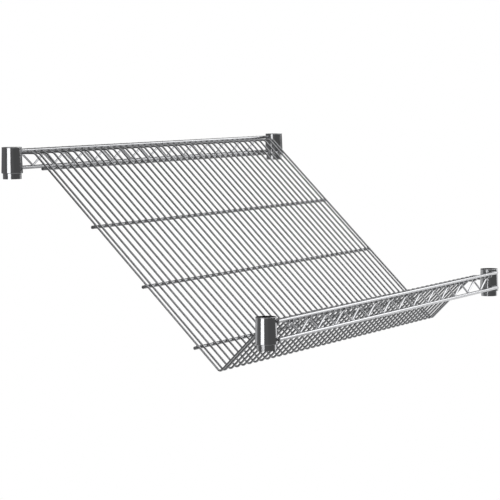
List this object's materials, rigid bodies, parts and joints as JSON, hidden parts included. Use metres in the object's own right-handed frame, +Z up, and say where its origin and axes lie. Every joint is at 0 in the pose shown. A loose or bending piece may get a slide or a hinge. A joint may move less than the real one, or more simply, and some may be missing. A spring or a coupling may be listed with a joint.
{
  "type": "slanted wire shelf",
  "caption": "Slanted display shelf of chromed wire with a front trough, trussed front and back edges and a tapered collar at each corner that slides onto an upright post.",
  "frame": {"origin": "middle of the shelf in length and depth, at the height of the undersides of the deck wires' lowest bends", "axes": "+X along the shelf to the right seen from the front, +Y from the front truss to the higher back truss, +Z up, along the posts"},
  "size_m": [0.914, 0.4652, 0.3287],
  "materials": {
    "collar_chrome": "bright chrome plating",
    "wire_chrome": "bright chrome plating"
  },
  "bodies": {
    "root": {"collar_back_left": "collar_chrome", "collar_back_right": "collar_chrome", "collar_front_left": "collar_chrome", "collar_front_right": "collar_chrome", "back_top_rail": "wire_chrome", "back_bottom_rail": "wire_chrome", "back_zigzag": "wire_chrome", "front_top_rail": "wire_chrome", "front_bottom_rail": "wire_chrome", "front_zigzag": "wire_chrome", "cross_rod_1": "wire_chrome", "cross_rod_2": "wire_chrome", "cross_rod_3": "wire_chrome", "cross_rod_4": "wire_chrome", "deck_wire_01": "wire_chrome", "deck_wire_02": "wire_chrome", "deck_wire_03": "wire_chrome", "deck_wire_04": "wire_chrome", "deck_wire_05": "wire_chrome", "deck_wire_06": "wire_chrome", "deck_wire_07": "wire_chrome", "deck_wire_08": "wire_chrome", "deck_wire_09": "wire_chrome", "deck_wire_10": "wire_chrome", "deck_wire_11": "wire_chrome", "deck_wire_12": "wire_chrome", "deck_wire_13": "wire_chrome", "deck_wire_14": "wire_chrome", "deck_wire_15": "wire_chrome", "deck_wire_16": "wire_chrome", "deck_wire_17": "wire_chrome", "deck_wire_18": "wire_chrome", "deck_wire_19": "wire_chrome", "deck_wire_20": "wire_chrome", "deck_wire_21": "wire_chrome", "deck_wire_22": "wire_chrome", "deck_wire_23": "wire_chrome", "deck_wire_24": "wire_chrome", "deck_wire_25": "wire_chrome", "deck_wire_26": "wire_chrome", "deck_wire_27": "wire_chrome", "deck_wire_28": "wire_chrome", "deck_wire_29": "wire_chrome", "deck_wire_30": "wire_chrome", "deck_wire_31": "wire_chrome", "deck_wire_32": "wire_chrome", "deck_wire_33": "wire_chrome", "deck_wire_34": "wire_chrome", "deck_wire_35": "wire_chrome", "deck_wire_36": "wire_chrome", "deck_wire_37": "wire_chrome", "deck_wire_38": "wire_chrome", "deck_wire_39": "wire_chrome", "deck_wire_40": "wire_chrome", "deck_wire_41": "wire_chrome", "deck_wire_42": "wire_chrome"}
  },
  "joints": []
}
